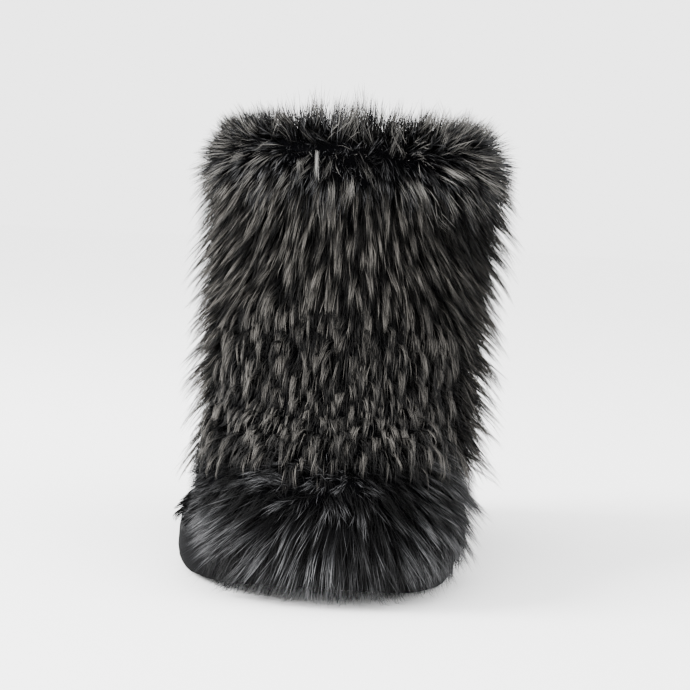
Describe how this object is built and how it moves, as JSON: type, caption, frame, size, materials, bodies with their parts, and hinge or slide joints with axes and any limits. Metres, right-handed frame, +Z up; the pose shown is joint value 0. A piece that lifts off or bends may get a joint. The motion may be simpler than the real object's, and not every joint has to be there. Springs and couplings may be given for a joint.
{
  "type": "deep-fur winter boot",
  "caption": "Short pull-on winter boot for the right foot, covered in long frosted fur, with a smooth moulded rubber sole.",
  "frame": {"origin": "on the floor under the middle of the heel", "axes": "+Z up, the toe towards -Y, the inner side of the right foot towards +X"},
  "size_m": [0.1424, 0.3015, 0.1971],
  "materials": {
    "sole_rubber": "moulded, matte",
    "footbed_felt": "felt",
    "upper_hide": "shearling hide, wool side in",
    "fur": "long black hair with pale bands"
  },
  "bodies": {
    "root": {"sole": "sole_rubber", "footbed": "footbed_felt", "upper": "upper_hide", "collar_fur": "fur", "shaft_fur": "fur", "foot_fur": "fur"}
  },
  "joints": []
}
